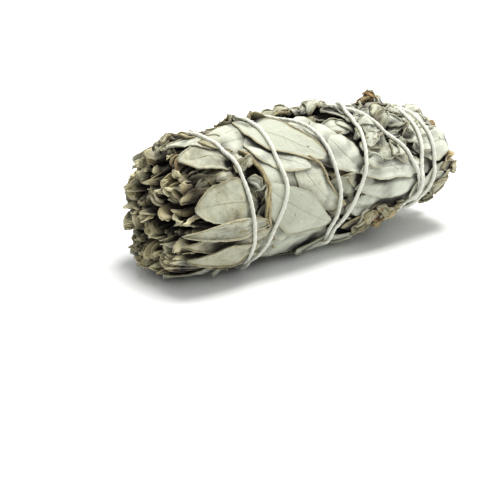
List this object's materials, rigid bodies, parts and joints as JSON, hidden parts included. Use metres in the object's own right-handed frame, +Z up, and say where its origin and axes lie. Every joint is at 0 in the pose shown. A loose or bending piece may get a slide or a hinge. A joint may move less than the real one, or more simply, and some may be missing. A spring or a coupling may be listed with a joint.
{
  "type": "sage smudge stick",
  "caption": "Smudge stick: sprigs of dried white sage laid side by side in a tapered bundle and bound round with one tied cotton string.",
  "frame": {"origin": "centre of the bundle's box, on the table it lies on", "axes": "+Z up; +X along the bundle from the leaf tips to the cut stems; -Y is the front side"},
  "size_m": [0.107, 0.0437, 0.043],
  "materials": {
    "sage_leaf": "dry felted leaf, matt silver green with olive edges",
    "sage_stem": "dry woody stem, matt brown",
    "cotton_string": "matt twisted cotton, undyed white"
  },
  "bodies": {
    "root": {"sprig_1_leaves": "sage_leaf", "sprig_2_leaves": "sage_leaf", "sprig_3_leaves": "sage_leaf", "sprig_4_leaves": "sage_leaf", "sprig_5_leaves": "sage_leaf", "sprig_6_leaves": "sage_leaf", "sprig_7_leaves": "sage_leaf", "sprig_1_stem": "sage_stem", "sprig_2_stem": "sage_stem", "sprig_3_stem": "sage_stem", "sprig_4_stem": "sage_stem", "sprig_5_stem": "sage_stem", "sprig_6_stem": "sage_stem", "sprig_7_stem": "sage_stem", "string": "cotton_string"}
  },
  "joints": []
}
